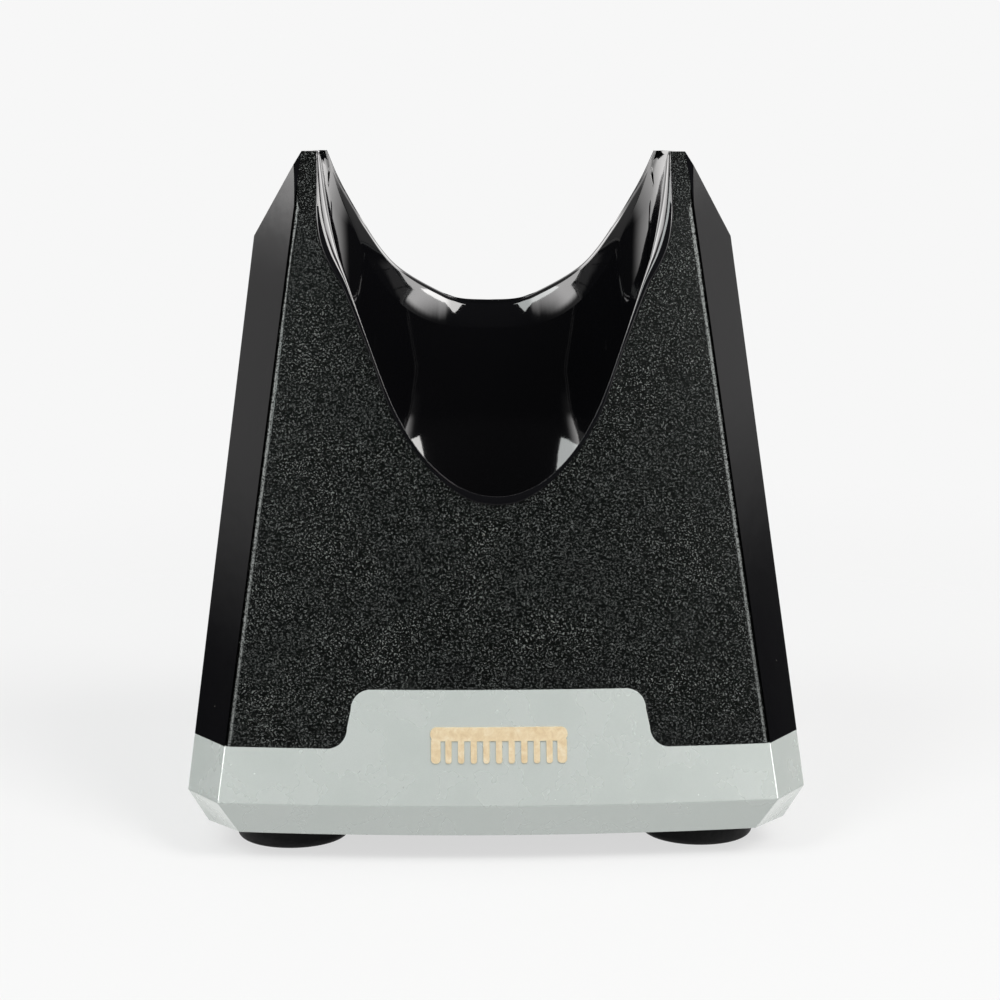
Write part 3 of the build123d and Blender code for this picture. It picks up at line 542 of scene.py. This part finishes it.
def front_y(x, z):
    t = z - TRIM_TOP
    xf = 37.6 - 0.125 * t
    y = -37.0 + 0.300 * t - xf * xf / 580.0 * (1 - (x / xf) ** 2)
    if z > 82.0:
        y = max(y, crest(-37.0 + 0.300 * (82.0 - TRIM_TOP) - 0.6, 0.300, 82.0, z, -1))
    return y


def rear_y(x, z):
    t = z - TRIM_TOP
    xf = 37.6 - 0.125 * t
    y = 36.593 - 0.355 * t + xf * xf / 580.0 * (1 - (x / xf) ** 2)
    if z > 82.0:
        y = min(y, crest(36.593 - 0.355 * (82.0 - TRIM_TOP) + 1.0, 0.355, 82.0, z, 1))
    return y


def skin_inside(p):
    """How far a point lies inside the outer faces: negative outside."""
    return min(p.y - front_y(p.x, p.z), rear_y(p.x, p.z) - p.y, TIP - p.z)


def rim_height(u):
    """Height where the bowl's inside leaves the outer form."""
    lo, hi = 45.0, 101.0
    for _ in range(40):
        mid = (lo + hi) / 2
        if skin_inside(wall(u, mid)) > 0:
            lo = mid
        else:
            hi = mid
    return (lo + hi) / 2


def along(points, count, bunch=None):
    """Points evenly spaced along a polyline."""
    lengths = [0.0]
    for a, b in zip(points, points[1:]):
        lengths.append(lengths[-1] + (b - a).length)
    out, k = [], 0
    for i in range(count):
        t = lengths[-1] * i / (count - 1)
        while k < len(points) - 2 and lengths[k + 1] < t:
            k += 1
        seg = lengths[k + 1] - lengths[k]
        f = (t - lengths[k]) / seg if seg > 1e-12 else 0.0
        out.append(points[k].lerp(points[k + 1], f))
    return out


def lip_curve(table, depth, count):
    rows = [(i / (len(table) - 1), x, z) for i, (x, z) in enumerate(table)]
    pts = []
    for i in range(241):
        x, z = smooth_table(rows, i / 240)
        pts.append(Vector((x, depth(x, z), min(z, TIP))))
    return along(pts, count)


def half_rim():
    """Rim corner on the bowl side, and the lip's outer edge, from the front centre to the rear centre (right half)."""
    raw = []
    for i in range(721):
        u = -math.pi / 2 + math.pi * i / 720
        z = rim_height(u)
        raw.append((u, z, wall(u, z)))
    top = [k for k, r in enumerate(raw) if r[1] > TIP - 0.02]
    first, last = top[0], top[-1]
    parts = []
    for rng, outer, count in (
        (raw[: first + 1], lip_curve(FRONT_LIP, front_y, 70), 70),
        (raw[first : last + 1], None, 22),
        (raw[last:], list(reversed(lip_curve(REAR_LIP, rear_y, 56))), 56),
    ):
        pts = [r[2] for r in rng]
        lengths = [0.0]
        for a, b in zip(pts, pts[1:]):
            lengths.append(lengths[-1] + (b - a).length)
        us = []
        k = 0
        for i in range(count):
            t = lengths[-1] * i / (count - 1)
            while k < len(pts) - 2 and lengths[k + 1] < t:
                k += 1
            seg = lengths[k + 1] - lengths[k]
            f = (t - lengths[k]) / seg if seg > 1e-12 else 0.0
            us.append(rng[k][0] * (1 - f) + rng[k + 1][0] * f)
        if outer is None:
            a, b = parts[-1][-1][1], Vector((24.7, rear_y(24.7, TIP), TIP))
            # the lip's outer edge swells round the top of the horn
            outer = []
            for i in range(count):
                f = i / (count - 1)
                p = a.lerp(b, f)
                p.x += 0.9 * min(1.0, 2.4 * math.sin(math.pi * f))
                outer.append(p)
        parts.append(list(zip(us, outer)))
    line = parts[0] + parts[1][1:] + parts[2][1:]
    return line


def ease(a, b, t):
    t = min(1.0, max(0.0, (t - a) / (b - a)))
    return t * t * (3 - 2 * t)


def build_cradle():
    line = half_rim()
    n = len(line)
    sections = []
    rim = [(u, min(rim_height(u), TIP)) for u, _ in line]
    for k, (u, outer) in enumerate(line):
        z = rim[k][1]
        corner = wall(u, z)
        # the direction on the bowl's wall that runs square away from the rim
        reach = (wall(u + 1e-3, z) - wall(u - 1e-3, z)).length / 2e-3
        (ua, za), (ub, zb) = rim[max(k - 2, 0)], rim[min(k + 2, n - 1)]
        tu, tz = reach * (ub - ua), zb - za
        if k == 0 or k == n - 1:
            tz = 0.0
        size = math.hypot(tu, tz)
        tu, tz = tu / size, tz / size
        w = (outer - corner).length
        high = ease(66, 90, corner.z)
        back = ease(-4, 10, corner.y)
        # how much of the lip's width curls in, and how far the roll runs down the bowl
        curl = (1 - high) * 0.34 + high * 0.96
        curl = curl * (1 - back) + back * 0.92
        deep = (0.70 + 3.6 * high) * (1 - back) + back * (0.8 + 5.4 * ease(80, 94, corner.z))
        out_dir = (outer - corner).normalized() if w > 1e-6 else Vector((1, 0, 0))
        inward = 0.012
        rows = []
        # face normal at the outer edge, for the proud skin and the hidden skirt
        mid = outer
        if abs(mid.z - TIP) < 0.02 and -13 < mid.y < 8:
            normal = Vector((0, 0, 1))
        elif mid.y < CRADLE_Y:
            normal = Vector((0, -1, 0.30)).normalized()
        else:
            normal = Vector((0, 1, 0.355)).normalized()
        lift = 0.0 if mid.z > 96.9 else 0.22
        lift *= 1 - ease(92, 96.5, mid.z)
        skirt = outer + out_dir * 0.05 - normal * 1.6
        rows.append(skirt)
        rows.append(outer + out_dir * 0.05 - normal * 0.10)
        rows.append(outer + out_dir * 0.04 + normal * (lift * 0.62))
        rows.append(outer - out_dir * 0.10 + normal * lift)
        start = corner + out_dir * (w * curl)
        for f in (0.3, 0.7):
            rows.append((outer - out_dir * 0.10).lerp(start, f) + normal * lift)
        turn = deep * tz / reach
        low = z - max(deep * tu, 0.05)
        down = wall(u + turn, low)
        p0, p1, p2 = start + normal * lift, corner + normal * (lift * 0.4), down
        # behind, the saddle runs back almost straight from its crease to the rear edge
        p1 = p1.lerp((p0 + p2) / 2, 0.55 * back * ease(80, 92, corner.z))
        weight = 0.80
        for i in range(0, 15):
            t = i / 14
            b0, b1, b2 = (1 - t) ** 2, 2 * t * (1 - t) * weight, t * t
            rows.append((p0 * b0 + p1 * b1 + p2 * b2) / (b0 + b1 + b2))
        steps = 30
        for i in range(1, steps + 1):
            f = i / steps
            rows.append(wall(u + turn * (1 - ease(0.0, 0.75, f)), low + (FLOOR_Z - low) * (f**0.92)))
        # rolled foot of the bowl, then the flat floor to the plug's hole
        last = rows[-1]
        centre = Vector((0, CRADLE_Y, FLOOR_Z))
        edge = centre + (last - centre).normalized() * 3.35
        for f in (0.12, 0.3, 0.55, 0.8, 1.0):
            rows.append(last.lerp(edge, f))
        rows.append(edge - Vector((0, 0, 0.25)))
        rows.append(edge - Vector((0, 0, 2.0)))
        # the underside, up to the skirt
        for f in (0.0, 0.18, 0.42, 0.66, 0.88):
            zz = FLOOR_Z - 2.0 + (z - 5.0 - FLOOR_Z + 2.0) * f
            rows.append(wall(u, max(zz, FLOOR_Z), 1.7) if f > 0 else wall(u, FLOOR_Z, 1.7) - Vector((0, 0, 2.0)))
        sections.append(rows)
    full = sections + [[Vector((-p.x, p.y, p.z)) for p in rows] for rows in reversed(sections[1:-1])]
    bm = bmesh.new()
    grid = [[bm.verts.new(p * MM) for p in rows] for rows in full]
    m = len(full[0])
    for i in range(len(grid)):
        a, b = grid[i], grid[(i + 1) % len(grid)]
        for j in range(m):
            q = (a[j], a[(j + 1) % m], b[(j + 1) % m], b[j])
            bm.faces.new(q)
    bmesh.ops.remove_doubles(bm, verts=bm.verts, dist=1e-7)
    bmesh.ops.recalc_face_normals(bm, faces=bm.faces)
    for f in bm.faces:
        f.smooth = True
    # the two screw ears and the two bosses of the guide, as one moulding with the bowl
    def tube(x, y, z0, z1, r, hole, spokes=36):
        loops = []
        for rad, z in ((r, z0), (r, z1), (hole, z1), (hole, z0)):
            loops.append([bm.verts.new(Vector((x + rad * math.cos(2 * math.pi * k / spokes), y + rad * math.sin(2 * math.pi * k / spokes), z)) * MM) for k in range(spokes)])
        for a, b in zip(loops, loops[1:] + loops[:1]):
            for k in range(spokes):
                bm.faces.new((a[k], a[(k + 1) % spokes], b[(k + 1) % spokes], b[k]))
    for s in (-1, 1):
        tube(s * 11.5, CRADLE_Y, 22.0, 28.6, 2.7, 0.95)
        tube(s * 29.5, CRADLE_Y, 38.0, 40.5, 4.0, 1.7)
        x0, x1 = s * 20.9, s * 26.2
        corners = [Vector((x, y, z)) * MM for z in (38.0, 40.5) for x, y in ((x0, -10.5), (x1, -9.4), (x1, -2.6), (x0, -1.5))]
        v = [bm.verts.new(c) for c in corners]
        for q in ((0, 1, 2, 3), (4, 5, 6, 7), (0, 1, 5, 4), (1, 2, 6, 5), (2, 3, 7, 6), (3, 0, 4, 7)):
            bm.faces.new([v[k] for k in q])
    bmesh.ops.recalc_face_normals(bm, faces=bm.faces)
    me = bpy.data.meshes.new("cradle_saddle")
    bm.to_mesh(me)
    bm.free()
    o = bpy.data.objects.new("cradle_saddle", me)
    bpy.context.scene.collection.objects.link(o)
    me.materials.append(looks["cradle_black"])
    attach(o, "stand")
    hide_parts("cradle")
    return o


cradle_piece = build_cradle()


def build_spring():
    """The spring stays on its terminal, as a copy of its mesh in spring steel."""
    source = nodes["plug_spring"]
    me = source.data.copy()
    me.name = "plug_spring_coil"
    o = bpy.data.objects.new("plug_spring_coil", me)
    bpy.context.scene.collection.objects.link(o)
    me.materials.clear()
    me.materials.append(looks["spring_steel"])
    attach(o, "stand")
    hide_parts("plug_spring")
    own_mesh(o)


build_spring()
